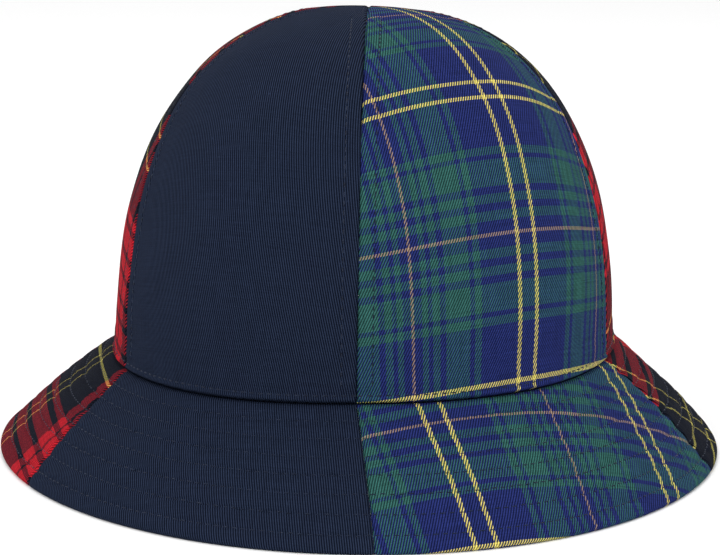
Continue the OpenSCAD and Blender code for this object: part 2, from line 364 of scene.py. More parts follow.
def crown_relief(t, q):
    """How far the crown's cloth stands out from its smooth face."""
    away = nearest_seam(t, turning_radius(t, q))
    height = wall_length(q)
    around = np.radians(t) * CROWN_HALF_WIDTH
    stitched = step(height, 3.0, 6.0) * (1 - step(q, SEAM_STITCH_TOP, SEAM_STITCH_TOP + 4))
    allowance = 1 - step(away, SEAM_STITCH_OFFSET - 0.6, SEAM_STITCH_OFFSET + 0.7)
    row = bell(away, SEAM_STITCH_OFFSET, 0.6)
    pucker = np.sin(height * 1.15 + 1.3 * np.sin(height / 9.0)) * bell(away, SEAM_STITCH_OFFSET, 2.6)
    relief = CROWN_ALLOWANCE_RISE * allowance - CROWN_ROW_GROOVE * row + CROWN_PUCKER * pucker
    fold = bell(height, 1.4, 1.25)
    base_row = bell(height, BASE_STITCH_HEIGHT, 0.55)
    base_pucker = np.sin(around * 0.95 + 1.6 * np.sin(around / 13.0)) * bell(height, 3.4, 2.6)
    relief = stitched * relief + BASE_FOLD_RISE * fold - BASE_ROW_GROOVE * base_row
    relief = relief + BASE_PUCKER * base_pucker + BASE_ALLOWANCE_RISE * (1 - step(height, 7.0, 9.5))
    ripple = waves(crown_point(t, q), 42.0, 11) * step(height, 4.0, 24.0)
    relief = relief + CROWN_RIPPLE * ripple
    relief = sunk(relief, CROWN_GROOVE, bell(away, 0.0, 0.62))
    return sunk(relief, BASE_GROOVE, bell(height, 0.0, 0.5))


def brim_relief(t, w, side):
    """How far the brim's cloth stands out on one face: UPPER_SIDE or UNDERSIDE."""
    reach = w * BRIM_WIDTH
    radius = np.linalg.norm(seam_outline(t), axis=-1) + w * np.linalg.norm(brim_run(t), axis=-1)
    away = nearest_seam(t, radius)
    around = np.radians(t) * radius
    last_row = BRIM_ROWS * BRIM_ROW_SPACING
    puff = np.sin(np.pi * reach / BRIM_ROW_SPACING) ** 2
    relief = BRIM_PUFF * puff * (1 - 0.5 * step(reach, last_row, last_row + 4))
    for row in range(1, BRIM_ROWS + 1):
        middle = row * BRIM_ROW_SPACING
        relief = relief - BRIM_ROW_GROOVE * bell(reach, middle, 0.6)
        rate = 0.62 + 0.05 * math.sin(2.4 * row + side)
        drift = 1.7 * np.sin(around / (17.0 + row) + 2.1 * row) + 0.9 * np.sin(around / 7.3 + row)
        swell = 0.55 + 0.45 * np.sin(around / (23.0 + 2 * row) + 4.0 * row)
        pucker = swell * np.sin(around * rate + drift) * bell(reach, middle, 2.6)
        relief = relief + BRIM_PUCKER * pucker
    ripple = waves(brim_point(t, w), 34.0, 23) * step(reach, 2.0, 16.0)
    allowance = (1 - step(away, 4.6, 6.0)) * step(reach, 1.0, 4.0)
    relief = relief + BRIM_RIPPLE * ripple + BRIM_ALLOWANCE_RISE * allowance
    relief = sunk(relief, BRIM_GROOVE, bell(away, 0.0, 0.6))
    return sunk(relief, BRIM_INNER_GROOVE, bell(reach, 0.0, 0.9))


# ---------------------------------------------------------------- meshes


def graded(length, fine, coarse, border, both=True):
    """Places from 0 to length, close together near its ends and further apart between them."""
    at = np.linspace(0.0, length, 2000)
    ends = np.exp(-((at / border) ** 2))
    if both:
        ends = ends + np.exp(-(((length - at) / border) ** 2))
    density = 1 / coarse + (1 / fine - 1 / coarse) * np.minimum(ends, 1.0)
    total = np.concatenate([[0.0], np.cumsum((density[1:] + density[:-1]) / 2 * np.diff(at))])
    return np.interp(np.linspace(0, total[-1], int(math.ceil(total[-1])) + 1), total, at)


def panel_columns(span, radius, fine, coarse, border=9.0):
    """Column angles of one panel, closest together at its two seams."""
    length = math.radians(span[1] - span[0]) * radius
    return span[0] + graded(length, fine, coarse, border) / length * (span[1] - span[0])


def grid(columns, rows):
    return np.meshgrid(columns, rows, indexing="ij")


def inset(t, radius):
    """Pulls a panel's first and last columns in from their seams by the same small gap."""
    angle = np.degrees(np.arcsin(np.minimum(SEAM_CLEARANCE / radius, 0.9)))
    moved = t.copy()
    moved[0] += angle[0]
    moved[-1] -= angle[-1]
    return moved


def pair(values, across, up):
    """Two views of a grid, the second one step across and up from the first."""
    rows = values.shape[1]
    low, high = max(0, -up), rows - max(0, up)
    return values[: values.shape[0] - across, low:high], values[across:, low + up : high + up]


def flatten(points, around, centre):
    """Lays a panel's grid of points flat, with its edges near their real lengths.

    Rows run up the cloth, and around is each point's angle about the hat. The column at the
    fraction centre ends upright, its foot at (0, 0).
    """
    widths = np.linalg.norm(np.diff(points, axis=0), axis=-1)
    middle = round(centre * (points.shape[0] - 1))
    steps = np.linalg.norm(np.diff(points[middle], axis=0), axis=-1)
    heights = np.concatenate([[0.0], np.cumsum(steps)])
    lengths = widths.sum(axis=0)
    fan = max((lengths[0] - lengths[-1]) / heights[-1], 1e-4)
    radius = lengths[0] / fan
    turn = fan * ((around - around[0, 0]) / (around[-1, 0] - around[0, 0]) - centre)
    flat = np.stack([(radius - heights) * np.sin(turn), radius - (radius - heights) * np.cos(turn)], -1)
    links = []
    for across, up in ((1, 0), (0, 1), (1, 1), (1, -1)):
        one, other = pair(points, across, up)
        links.append((across, up, np.linalg.norm(other - one, axis=-1, keepdims=True)))
    for _ in range(900):
        push = np.zeros_like(flat)
        for across, up, rest in links:
            one, other = pair(flat, across, up)
            gap = other - one
            length = np.maximum(np.linalg.norm(gap, axis=-1, keepdims=True), 1e-6)
            shift = gap * (0.125 * (length - rest) / length)
            first, second = pair(push, across, up)
            first += shift
            second -= shift
        flat = flat + push
    spine = np.einsum("c,crk->rk", hat_weights(np.array([centre]), points.shape[0])[0], flat)
    lean = math.atan2(spine[-1][0] - spine[0][0], spine[-1][1] - spine[0][1])
    turn_back = np.array([[math.cos(lean), math.sin(lean)], [-math.sin(lean), math.cos(lean)]])
    return (flat - spine[0]) @ turn_back


def hat_weights(at, count):
    """Weights that read a row of count values at fractions of its length."""
    return np.maximum(0.0, 1.0 - abs(np.asarray(at)[:, None] * (count - 1) - np.arange(count)))


def read_flat(flat, columns_at, rows_at):
    across = hat_weights(columns_at, flat.shape[0])
    up = hat_weights(rows_at, flat.shape[1])
    return np.einsum("ac,br,crk->abk", across, up, flat)


def laid(cloth, cut):
    """A panel's flat cloth, measured along its tartan's own lines."""
    x, y, upright_lean, level_lean = cut
    across, up = cloth[..., 0] - x, cloth[..., 1] - y
    warp = across * cosd(upright_lean) - up * sind(upright_lean)
    weft = up * cosd(level_lean) - across * sind(level_lean)
    return np.stack([warp, weft], axis=-1)


def make_mesh(name, points, faces, cloth=None):
    """A smooth-shaded object from points in millimetres, with its flat-cloth layer if it has one."""
    mesh = bpy.data.meshes.new(name)
    mesh.from_pydata((points * MM).tolist(), [], faces.tolist())
    mesh.validate()
    if cloth is not None:
        corners = np.zeros(len(mesh.loops), np.int64)
        mesh.loops.foreach_get("vertex_index", corners)
        layer = mesh.uv_layers.new(name="cloth")
        layer.data.foreach_set("uv", cloth[corners].astype(np.float32).ravel())
    mesh.shade_smooth()
    piece = bpy.data.objects.new(name, mesh)
    bpy.context.scene.collection.objects.link(piece)
    return piece


def shell(name, face, back, cloth):
    """A closed sheet of cloth between two grids of points."""
    columns, rows = face.shape[:2]
    near = np.arange(columns * rows).reshape(columns, rows)
    far = near + columns * rows

    def quads(a, b, c, d):
        return np.stack([a, b, c, d], axis=-1).reshape(-1, 4)

    faces = np.concatenate(
        [
            quads(near[:-1, :-1], near[1:, :-1], near[1:, 1:], near[:-1, 1:]),
            quads(far[:-1, :-1], far[:-1, 1:], far[1:, 1:], far[1:, :-1]),
            quads(near[:-1, 0], far[:-1, 0], far[1:, 0], near[1:, 0]),
            quads(near[1:, -1], far[1:, -1], far[:-1, -1], near[:-1, -1]),
            quads(near[0, 1:], far[0, 1:], far[0, :-1], near[0, :-1]),
            quads(near[-1, :-1], far[-1, :-1], far[-1, 1:], near[-1, 1:]),
        ]
    )
    points = np.concatenate([face.reshape(-1, 3), back.reshape(-1, 3)])
    flat = np.concatenate([cloth.reshape(-1, 2), cloth.reshape(-1, 2)])
    a, b, c = points[faces[:, 0]], points[faces[:, 1]], points[faces[:, 2]]
    d = points[faces[:, 3]]
    volume = np.einsum("ij,ij->", a, np.cross(b, c)) + np.einsum("ij,ij->", a, np.cross(c, d))
    if volume < 0:
        faces = faces[:, ::-1]
    piece = make_mesh(name, points, faces, flat)
    piece.data.set_sharp_from_angle(angle=math.radians(50))
    return piece


def stitches(name, rows, pitch=STITCH_PITCH, radius=THREAD_RADIUS):
    """Separate stitches along rows, each row a close line of points with its normals."""
    stations, sides = 5, 5
    along = np.linspace(0.0, 1.0, stations)
    arch = np.sin(np.pi * along) ** 0.7
    points, faces = [], []
    start = 0
    for path, normals in rows:
        run = np.concatenate([[0.0], np.cumsum(np.linalg.norm(np.diff(path, axis=0), axis=1))])
        count = max(1, round(run[-1] / pitch))
        length = run[-1] / count
        at = np.arange(count)[:, None] * length + STITCH_GAP / 2 + along * (length - STITCH_GAP)

        def read(values):
            return np.stack([np.interp(at, run, values[:, k]) for k in range(3)], axis=-1)

        middle, normal = read(path), unit(read(normals))
        middle = middle + normal * (radius * (1.75 * arch - 1.35))[None, :, None]
        tangent = unit(np.gradient(middle, axis=1))
        side = unit(np.cross(normal, tangent))
        lift = np.cross(tangent, side)
        thick = (radius * (0.72 + 0.28 * arch))[None, :, None, None]
        turn = np.arange(sides) * 2 * np.pi / sides
        ring = side[:, :, None] * np.cos(turn)[:, None] + lift[:, :, None] * np.sin(turn)[:, None]
        points.append((middle[:, :, None] + thick * ring).reshape(-1, 3))
        index = start + np.arange(count * stations * sides).reshape(count, stations, sides)
        ahead = np.roll(index, -1, axis=2)
        walls = np.stack([index[:, :-1], ahead[:, :-1], ahead[:, 1:], index[:, 1:]], -1).reshape(-1, 4)
        faces.extend(walls.tolist())
        faces.extend(index[:, 0, ::-1].tolist())
        faces.extend(index[:, -1].tolist())
        start += count * stations * sides
    mesh = bpy.data.meshes.new(name)
    mesh.from_pydata((np.concatenate(points) * MM).tolist(), [], faces)
    mesh.shade_smooth()
    piece = bpy.data.objects.new(name, mesh)
    bpy.context.scene.collection.objects.link(piece)
    return piece


# ---------------------------------------------------------------- materials


def srgb(red, green, blue):
    """A colour as read on a screen, from 0 to 255, as the renderer's linear colour."""
    shares = [value / 255 for value in (red, green, blue)]
    return [v / 12.92 if v <= 0.04045 else ((v + 0.055) / 1.055) ** 2.4 for v in shares] + [1.0]


YARNS = {
    "blue": srgb(35, 44, 98),
    "green": srgb(47, 90, 85),
    "yellow": srgb(220, 204, 106),
    "tan": srgb(150, 126, 108),
    "red": srgb(180, 32, 44),
    "black": srgb(20, 24, 35),
    "gold": srgb(228, 216, 112),
}
# Each tartan's stripes from one mirror line to the next: half its repeat, then where each yarn starts.
BLUE_GREEN_WARP = (
    42.6,
    ((0, "tan"), (0.4, "blue"), (3.0, "green"), (5.1, "blue"), (6.5, "green"), (9.1, "blue"),
     (11.1, "green"), (19.6, "blue"), (21.3, "green"), (23.7, "blue"), (38.0, "yellow"),
     (39.7, "blue")),
)
BLUE_GREEN_WEFT = (
    52.0,
    ((0, "tan"), (0.55, "blue"), (4.4, "green"), (7.6, "blue"), (10.0, "green"), (13.2, "blue"),
     (15.6, "green"), (24.6, "blue"), (26.3, "green"), (29.1, "blue"), (47.6, "yellow"),
     (49.2, "blue")),
)
RED_WARP = (
    50.0,
    ((0, "black"), (5.0, "gold"), (6.1, "black"), (35.5, "red"), (43.0, "black"), (45.0, "red")),
)
RED_WEFT = (
    50.0,
    ((0, "black"), (5.0, "gold"), (6.1, "black"), (24.5, "red"), (27.5, "black"), (30.0, "red"),
     (37.0, "black"), (39.5, "red"), (44.5, "black"), (46.5, "red")),
)


class Nodes:
    """Short calls that build one material's node tree."""

    def __init__(self, name):
        self.material = bpy.data.materials.new(name)
        self.material.use_nodes = True
        self.tree = self.material.node_tree
        self.surface = self.tree.nodes["Principled BSDF"]

    def feed(self, socket, value):
        if isinstance(value, bpy.types.NodeSocket):
            self.tree.links.new(value, socket)
        else:
            socket.default_value = value

    def math(self, operation, *values):
        node = self.tree.nodes.new("ShaderNodeMath")
        node.operation = operation
        for socket, value in zip(node.inputs, values):
            self.feed(socket, value)
        return node.outputs[0]

    def mix(self, share, one, other, blend="MIX"):
        node = self.tree.nodes.new("ShaderNodeMix")
        node.data_type = "RGBA"
        node.blend_type = blend
        self.feed(node.inputs["Factor"], share)
        self.feed(node.inputs["A"], one)
        self.feed(node.inputs["B"], other)
        return node.outputs["Result"]

    def smooth(self, value, low, high, start=0.0, end=1.0):
        node = self.tree.nodes.new("ShaderNodeMapRange")
        node.interpolation_type = "SMOOTHSTEP"
        for socket, number in zip(node.inputs, (value, low, high, start, end)):
            self.feed(socket, number)
        return node.outputs["Result"]

    def cloth(self):
        """The flat cloth's two directions, in millimetres."""
        layer = self.tree.nodes.new("ShaderNodeUVMap")
        layer.uv_map = "cloth"
        parts = self.tree.nodes.new("ShaderNodeSeparateXYZ")
        self.tree.links.new(layer.outputs["UV"], parts.inputs[0])
        return parts.outputs[0], parts.outputs[1]

    def noise(self, x, y, z=0.0, detail=2.0):
        place = self.tree.nodes.new("ShaderNodeCombineXYZ")
        for socket, value in zip(place.inputs, (x, y, z)):
            self.feed(socket, value)
        node = self.tree.nodes.new("ShaderNodeTexNoise")
        node.inputs["Scale"].default_value = 1.0
        node.inputs["Detail"].default_value = detail
        self.tree.links.new(place.outputs[0], node.inputs["Vector"])
        return node.outputs["Fac"]

    def stripes(self, place, sett):
        """The yarn colour at a place along a mirrored sett."""
        half_repeat, bands = sett
        node = self.tree.nodes.new("ShaderNodeValToRGB")
        node.color_ramp.interpolation = "CONSTANT"
        stops = node.color_ramp.elements
        while len(stops) < len(bands):
            stops.new(1.0)
        for stop, (start, yarn) in zip(stops, bands):
            stop.position = start / half_repeat
            stop.color = YARNS[yarn]
        share = self.math("DIVIDE", self.math("PINGPONG", place, half_repeat), half_repeat)
        self.tree.links.new(share, node.inputs[0])
        return node.outputs["Color"]

    def finish(self, colour, height, roughness, sheen, depth=0.2, strength=0.9):
        """Joins the colour and the relief, depth millimetres deep, to a matt, cloth-like surface."""
        bump = self.tree.nodes.new("ShaderNodeBump")
        bump.inputs["Strength"].default_value = strength
        bump.inputs["Distance"].default_value = depth * MM
        self.tree.links.new(height, bump.inputs["Height"])
        self.tree.links.new(bump.outputs["Normal"], self.surface.inputs["Normal"])
        self.feed(self.surface.inputs["Base Color"], colour)
        self.feed(self.surface.inputs["Roughness"], roughness)
        self.surface.inputs["Specular IOR Level"].default_value = 0.03
        self.surface.inputs["Sheen Weight"].default_value = sheen
        self.surface.inputs["Sheen Roughness"].default_value = 0.45
        return self.material


def rib_count(nodes, x, y, across, along):
    """Counts twill ribs: one every across mm sideways and every along mm up."""
    return nodes.math("ADD", nodes.math("DIVIDE", x, across), nodes.math("DIVIDE", y, along))


def rib_height(nodes, count):
    """Twill ribs as a wave from 0 to 1."""
    return nodes.math("MULTIPLY", nodes.math("PINGPONG", count, 0.5), 2.0)


def flank_shade(nodes, count, mean, swing):
    """Light on one flank of each twill rib and shade on the other, as a grey around the mean."""
    side = nodes.math("SINE", nodes.math("MULTIPLY", count, 2 * math.pi))
    return nodes.math("MULTIPLY_ADD", side, -swing, mean)


def yarn_shade(nodes, x, y, amount):
    """Slight unevenness of single yarns, as a grey around 1 that multiplies the colour."""
    warp = nodes.noise(nodes.math("MULTIPLY", x, 2.3), nodes.math("MULTIPLY", y, 0.07), 3.0)
    weft = nodes.noise(nodes.math("MULTIPLY", x, 0.07), nodes.math("MULTIPLY", y, 2.3), 9.0)
    both = nodes.math("ADD", warp, weft)
    return nodes.smooth(both, 0.6, 1.4, 1 - amount, 1 + amount)


def woven(nodes, x, y, ribs):
    """Height of the weave: the ribs, crossed by fine yarns."""
    cross = nodes.math("MULTIPLY", nodes.math("PINGPONG", y, 0.22), 1.2)
    fuzz = nodes.noise(nodes.math("MULTIPLY", x, 1.6), nodes.math("MULTIPLY", y, 1.6), 1.0)
    height = nodes.math("ADD", ribs, cross)
    return nodes.math("ADD", height, nodes.math("MULTIPLY", fuzz, 0.5))


def tartan(name, warp, weft, across, along, depth):
    """Twill of striped yarns; depth is how far the darker yarn dims the lighter one it crosses."""
    nodes = Nodes(name)
    x, y = nodes.cloth()
    count = rib_count(nodes, x, y, across, -along)
    ribs = rib_height(nodes, count)
    over = nodes.smooth(ribs, 0.3, 0.7)
    warp_yarn, weft_yarn = nodes.stripes(x, warp), nodes.stripes(y, weft)
    mixed = nodes.mix(over, weft_yarn, warp_yarn)
    colour = nodes.mix(depth, mixed, nodes.mix(1.0, weft_yarn, warp_yarn, "DARKEN"))
    flank = flank_shade(nodes, count, mean=0.84, swing=0.62)
    shade = nodes.math("MULTIPLY", flank, yarn_shade(nodes, x, y, 0.28))
    shaded = nodes.mix(1.0, colour, shade, "MULTIPLY")
    roughness = nodes.smooth(ribs, 0.0, 1.0, 0.92, 0.8)
    lifted = nodes.math("ABSOLUTE", nodes.math("SUBTRACT", ribs, 0.5))
    return nodes.finish(shaded, woven(nodes, x, y, lifted), roughness, sheen=0.0)


def twill(name, dark, light, across, along, slubs=0.5, sheen=0.0):
    """Plain-coloured twill with fine ribs, painted light on their crests and painted shade in the
    grooves between them, and a few lighter slubs.
    """
    nodes = Nodes(name)
    x, y = nodes.cloth()
    ribs = rib_height(nodes, rib_count(nodes, x, y, across, along))
    # Colour follows the ribs' height: dark in the grooves as painted shade, lighter on the crests as
    # painted light.
    tone = nodes.mix(nodes.smooth(ribs, 0.2, 1.0, 0.0, 0.85), dark, light)
    slub = nodes.noise(nodes.math("MULTIPLY", x, 1.1), nodes.math("MULTIPLY", y, 0.28), 5.0, 3.0)
    fleck = nodes.smooth(slub, 0.67, 0.76, 0.0, slubs)
    cloth = nodes.mix(fleck, tone, light)
    shaded = nodes.mix(1.0, cloth, yarn_shade(nodes, x, y, 0.2), "MULTIPLY")
    roughness = nodes.smooth(ribs, 0.0, 1.0, 0.94, 0.82)
    return nodes.finish(shaded, woven(nodes, x, y, ribs), roughness, sheen)


def plain_weave(name, dark, light, pitch):
    """Over-and-under weave, one yarn every pitch mm, with painted light on the crossings and painted
    shade in the dips between them.
    """
    nodes = Nodes(name)
    x, y = nodes.cloth()
    warp = nodes.math("SINE", nodes.math("MULTIPLY", x, math.pi / pitch))
    weft = nodes.math("SINE", nodes.math("MULTIPLY", y, math.pi / pitch))
    cells = nodes.math("MULTIPLY", warp, weft)
    # Lighter where the weave stands up and darker where it dips: painted light and shade.
    tone = nodes.mix(nodes.smooth(cells, -0.6, 0.8), dark, light)
    shaded = nodes.mix(1.0, tone, yarn_shade(nodes, x, y, 0.18), "MULTIPLY")
    roughness = nodes.smooth(cells, -1.0, 1.0, 0.9, 0.78)
    height = nodes.math("MULTIPLY", cells, 0.5)
    return nodes.finish(shaded, height, roughness, sheen=0.08, depth=0.08)


def satin_tape(name, dark, light):
    """A smooth woven label: long floats with fine cross lines, the lines darkened as painted shade where
    the floats dip.
    """
    nodes = Nodes(name)
    x, y = nodes.cloth()
    floats = nodes.math("PINGPONG", nodes.math("ADD", y, nodes.math("MULTIPLY", x, 0.2)), 0.15)
    # Darker where the floats dip at the cross lines: painted shade.
    tone = nodes.mix(nodes.smooth(floats, 0.0, 0.15), dark, light)
    shaded = nodes.mix(1.0, tone, yarn_shade(nodes, x, y, 0.05), "MULTIPLY")
    roughness = nodes.smooth(floats, 0.0, 0.15, 0.6, 0.42)
    return nodes.finish(shaded, nodes.math("MULTIPLY", floats, 2.0), roughness, sheen=0.1, depth=0.04)


def felted(name, dark, light):
    """Non-woven interlining: matted fibres in every direction."""
    nodes = Nodes(name)
    x, y = nodes.cloth()
    mat = nodes.noise(nodes.math("MULTIPLY", x, 1.9), nodes.math("MULTIPLY", y, 0.6), 2.0, 6.0)
    tone = nodes.mix(nodes.smooth(mat, 0.35, 0.65), dark, light)
    return nodes.finish(tone, mat, nodes.smooth(mat, 0.3, 0.7, 0.95, 0.85), sheen=0.1)


def spun_thread(name, dark, light):
    """Sewing thread with a soft twist and painted highlights on it, placed by the object's own space."""
    nodes = Nodes(name)
    place = nodes.tree.nodes.new("ShaderNodeTexCoord")
    twist_and_glints = nodes.tree.nodes.new("ShaderNodeTexNoise")
    twist_and_glints.inputs["Scale"].default_value = 2600.0
    nodes.tree.links.new(place.outputs["Object"], twist_and_glints.inputs["Vector"])
    # The lighter flecks along the thread are painted highlights on its twist.
    tone = nodes.mix(nodes.smooth(twist_and_glints.outputs["Fac"], 0.35, 0.65), dark, light)
    roughness = nodes.smooth(twist_and_glints.outputs["Fac"], 0.3, 0.7, 0.62, 0.48)
    return nodes.finish(tone, twist_and_glints.outputs["Fac"], roughness, sheen=0.15, depth=0.05, strength=0.4)


# In the twills, the lining and the label, the first colour is painted shade in the weave's grooves and
# the second is painted light on its crests, which is also the twills' slub colour. The thread's second
# colour is its painted highlights.
MATERIALS = {
    "navy_twill": twill("navy_twill", srgb(9, 14, 27), srgb(47, 58, 82), 0.81, 3.0),
    "blue_green_tartan": tartan("blue_green_tartan", BLUE_GREEN_WARP, BLUE_GREEN_WEFT, 0.96, 1.8, 0.0),
    "red_tartan": tartan("red_tartan", RED_WARP, RED_WEFT, 0.96, 1.8, 0.4),
    "underbrim_twill": twill("underbrim_twill", srgb(9, 14, 27), srgb(46, 57, 81), 0.81, 3.0),
    "lining": plain_weave("lining", srgb(26, 33, 54), srgb(48, 58, 86), 0.34),
    "stiffener": felted("stiffener", srgb(198, 197, 190), srgb(226, 225, 219)),
    "sweatband": twill(
        "sweatband", srgb(20, 26, 44), srgb(44, 53, 78), 0.9, 0.9, slubs=0.2, sheen=0.15
    ),
    "thread": spun_thread("thread", srgb(16, 21, 35), srgb(39, 48, 69)),
    "label": satin_tape("label", srgb(206, 205, 200), srgb(238, 237, 233)),
}


# ---------------------------------------------------------------- pieces


def place(piece, slot, *nodes):
    """Gives a piece its material and its place in the frame."""
    piece.data.materials.append(MATERIALS[slot])
    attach(piece, "root")
    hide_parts(*nodes)
    return piece


def crown_flat(span, depth):
    """One crown panel laid flat: its layout, and the angles of the layout's columns."""
    dense = np.linspace(*span, 400)
    spread = leaned(dense, angle_at_length(FLAT_EVEN_HEIGHT * WALL_LENGTH))
    columns = np.interp(np.linspace(spread[0], spread[-1], FLAT_COLUMNS), spread, dense)
    t, q = grid(columns, angle_at_length(np.linspace(0, WALL_LENGTH, FLAT_ROWS)))
    centre = np.interp(np.mean(span), columns, np.linspace(0, 1, FLAT_COLUMNS))
    points = crown_inside(t, q, np.full_like(t, depth))
    return flatten(points, leaned(t, q), centre), columns


def crown_layout(span, depth, fine, coarse):
    """Columns, rows and flat cloth of one crown or lining panel."""
    columns = panel_columns(span, CROWN_HALF_WIDTH, fine, coarse)
    heights = graded(WALL_LENGTH, fine, coarse * 1.3, 7.0, both=False)
    rows = angle_at_length(heights)
    flat, flat_columns = crown_flat(span, depth)
    fractions = np.interp(columns, flat_columns, np.linspace(0, 1, FLAT_COLUMNS))
    cloth = read_flat(flat, fractions, heights / WALL_LENGTH)
    t, q = grid(columns, rows)
    return inset(t, turning_radius(t, q)), q, flat, cloth


def gathered(points):
    """Draws a crown panel's last row in to the top, where the four seams meet."""
    top = crown_point(0.0, 90.0)
    points[:, -1, :2] = top[:2] + TOP_GATHER * (points[:, -1, :2] - top[:2])
    return points


def crown_panel(name):
    t, q, flat, cloth = crown_layout(PANELS[name], depth=0.0, fine=0.45, coarse=1.7)
    normal = crown_normal(t, q)
    smooth = crown_point(t, q)
    relief = crown_relief(t, q)
    face = smooth + column(relief) * normal
    back = smooth - column(OUTER_CLOTH - np.minimum(relief, 0) * 0.1) * normal
    cloth = laid(cloth, CROWN_CUT[name])
    piece = shell(f"crown_{name}_cloth", gathered(face), gathered(back), cloth)
    place(piece, CLOTH[name], f"crown_{name}")
    return piece, flat


def lining_panel(name):
    t, q, flat, cloth = crown_layout(PANELS[name], depth=LINING[0], fine=0.8, coarse=2.6)
    normal = crown_normal(t, q)
    smooth = crown_point(t, q)
    away = nearest_seam(t, turning_radius(t, q))
    slack = 0.35 * (1 + waves(smooth, 26.0, 31)) * step(wall_length(q), 34.0, 60.0)
    seam = 0.35 * bell(away, 0.0, 1.2) + 0.12 * (1 - step(away, 5.0, 7.0))
    face = smooth - column(LINING[0]) * normal
    back = smooth - column(LINING[1] + slack * (1 - bell(away, 0.0, 3.0)) + 0.12 - seam * 0.3) * normal
    piece = shell(f"lining_{name}_cloth", gathered(face), gathered(back), cloth)
    place(piece, "lining", f"lining_{name}")
    return piece, flat


def brim_layout(span, grain, fine, coarse, outermost=1.0):
    """Columns, rows and flat cloth of one brim panel, up to w = outermost."""
    radius = CROWN_HALF_WIDTH + FRONT_REACH * 0.6
    columns = panel_columns(span, radius, fine, coarse)
    rows = graded(BRIM_WIDTH * outermost, 0.5, 0.85, 5.0) / BRIM_WIDTH
    coarse_t, coarse_w = grid(np.linspace(*span, 33), np.linspace(outermost, 0.0, 9))
    centre = (grain - span[0]) / (span[1] - span[0])
    flat = flatten(brim_point(coarse_t, coarse_w), coarse_t, centre)
    flat = flat - np.array([0.0, np.interp(centre, np.linspace(0, 1, 33), flat[:, -1, 1])])
    cloth = read_flat(flat, (columns - span[0]) / (span[1] - span[0]), 1 - rows / outermost)
    t, w = grid(columns, rows)
    return inset(t, CROWN_HALF_WIDTH + w * FRONT_REACH), w, flat, cloth


def brim_panel(name):
    """The upper cloth of one brim panel, turned round the rounded edge."""
    t, w, flat, cloth = brim_layout(PANELS[name], BRIM_GRAIN[name], fine=0.45, coarse=1.25)
    normal = brim_normal(t, w)
    smooth = brim_point(t, w)
    relief = brim_relief(t, w, UPPER_SIDE)
    fade = 1 - step(w, 0.985, 1.0)
    seam = nearest_seam(t, CROWN_HALF_WIDTH + FRONT_REACH * w)
    rim_relief = -RIM_SEAM_GROOVE * bell(seam, 0.0, 0.6)
    face = smooth + column(relief * fade + rim_relief * (1 - fade)) * normal
    back = smooth - column(OUTER_CLOTH) * normal
    turns = np.linspace(0.0, HEM_TURN, 12)[1:]
    around_t, turn = grid(t[:, -1], turns)
    up, outward = slope_frame(around_t)
    spoke = column(cosd(turn)) * up + column(sind(turn)) * outward
    middle = edge_middle(around_t)
    hem_relief = np.repeat(rim_relief[:, -1:], len(turns), axis=1)
    face = np.concatenate([face, middle + spoke * column(EDGE_RADIUS + hem_relief)], axis=1)
    back = np.concatenate([back, middle + spoke * (EDGE_RADIUS - OUTER_CLOTH)], axis=1)
    downwards = unit(cloth[:, -1] - cloth[:, -3])[:, None]
    hem_cloth = cloth[:, -1:] + downwards * (np.radians(turns) * EDGE_RADIUS)[None, :, None]
    cloth = np.concatenate([cloth, hem_cloth], axis=1)
    piece = shell(f"brim_{name}_cloth", face, back, laid(cloth, BRIM_CUT[name]))
    place(piece, CLOTH[name], f"brim_{name}")
    return piece, flat


def underbrim_face(t, w, depth):
    return brim_point(t, w) - raised(np.full_like(t, depth))


def underbrim_panel(name):
    grain = BRIM_GRAIN[name]
    t, w, flat, cloth = brim_layout(PANELS[name], grain, fine=0.6, coarse=1.5, outermost=UNDERBRIM_WIDTH)
    w = w - UNDERBRIM_INNER_REACH * (1 - step(w, 0.0, 0.1))
    relief = brim_relief(t, w, UNDERSIDE)
    relief = sunk(relief, UNDERBRIM_RIM_GROOVE, bell(w, UNDERBRIM_WIDTH, 0.02))
    face = underbrim_face(t, w, UNDERBRIM[1]) - column(relief * UNDERBRIM_RELIEF) * brim_normal(t, w)
    back = underbrim_face(t, w, UNDERBRIM[0])
    piece = shell(f"underbrim_{name}_cloth", face, back, cloth)
    place(piece, "underbrim_twill", f"underbrim_{name}")
    return piece, flat


def stiffener_ring():
    """One ring of interlining, cut at the back."""
    span = (-179.9, 179.9)
    t, w, flat, cloth = brim_layout(span, grain=0.0, fine=3.0, coarse=3.0, outermost=UNDERBRIM_WIDTH)
    face = underbrim_face(t, w, STIFFENER[0])
    back = underbrim_face(t, w, STIFFENER[1])
    piece = shell("brim_stiffener_sheet", face, back, cloth)
    place(piece, "stiffener", "brim_stiffener")
    return piece, flat


